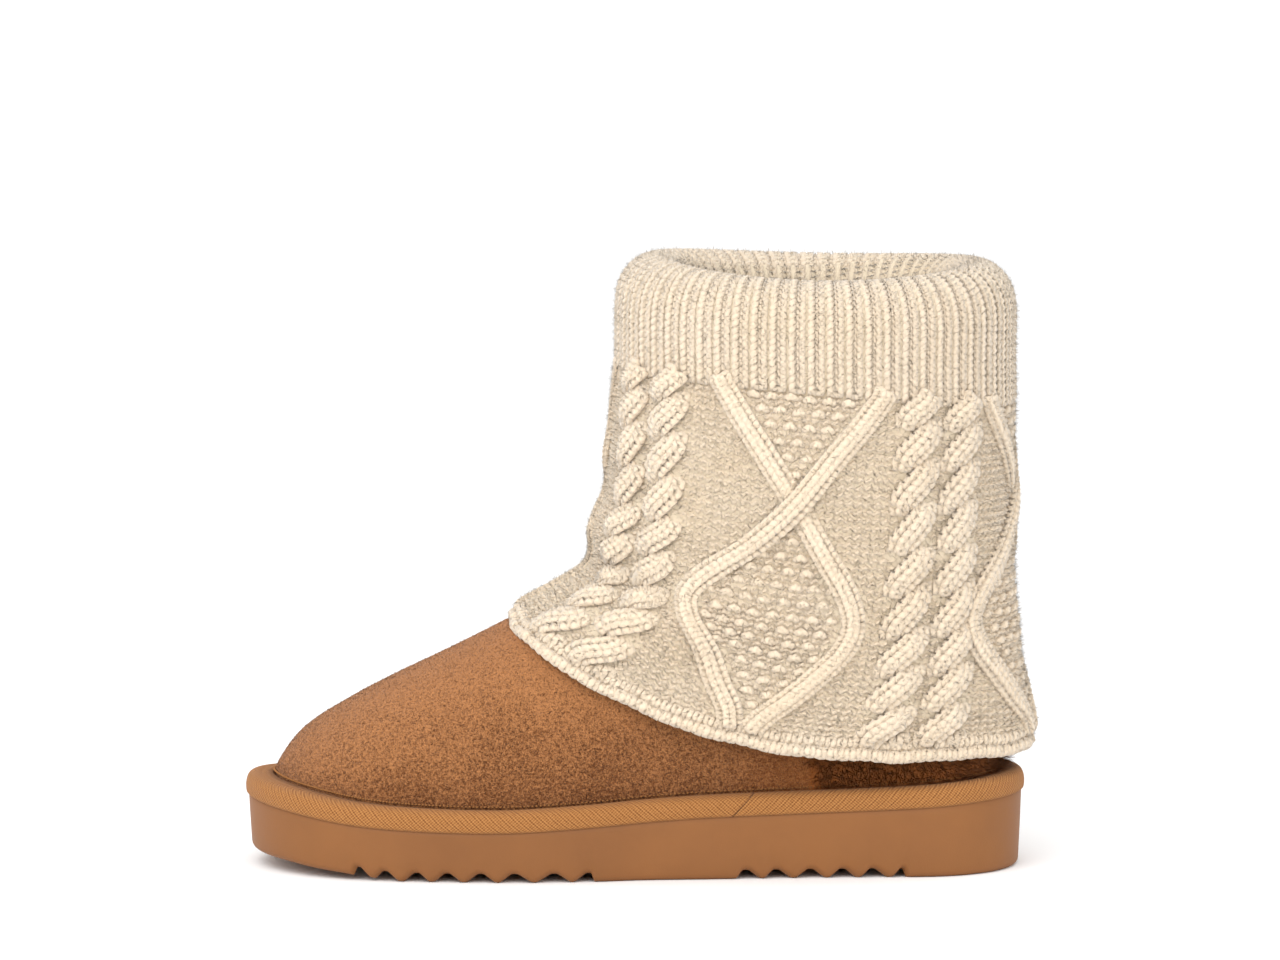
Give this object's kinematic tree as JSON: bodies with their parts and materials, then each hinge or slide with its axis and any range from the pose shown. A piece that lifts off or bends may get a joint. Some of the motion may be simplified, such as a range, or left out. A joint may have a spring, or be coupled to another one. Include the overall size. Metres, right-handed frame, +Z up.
{
  "type": "boot",
  "caption": "Low suede winter boot with a lugged rubber outsole, a tape-covered rand and a cable-knitted cover folded into the collar.",
  "frame": {"origin": "on the floor under the middle of the sole, on the flat waist of the outsole", "axes": "+Z up, toe to -X, heel to +X, outer side of the foot to -Y, inner side to +Y"},
  "size_m": [0.2718, 0.1103, 0.208],
  "materials": {
    "suede": "napped suede",
    "knit": "soft brushed yarn",
    "tape": "woven tape",
    "sole": "smooth matt",
    "lining": "short plush"
  },
  "bodies": {
    "root": {"outsole": "sole", "rand": "tape", "insole": "lining", "upper": "suede", "knit_cover": "knit"}
  },
  "joints": []
}
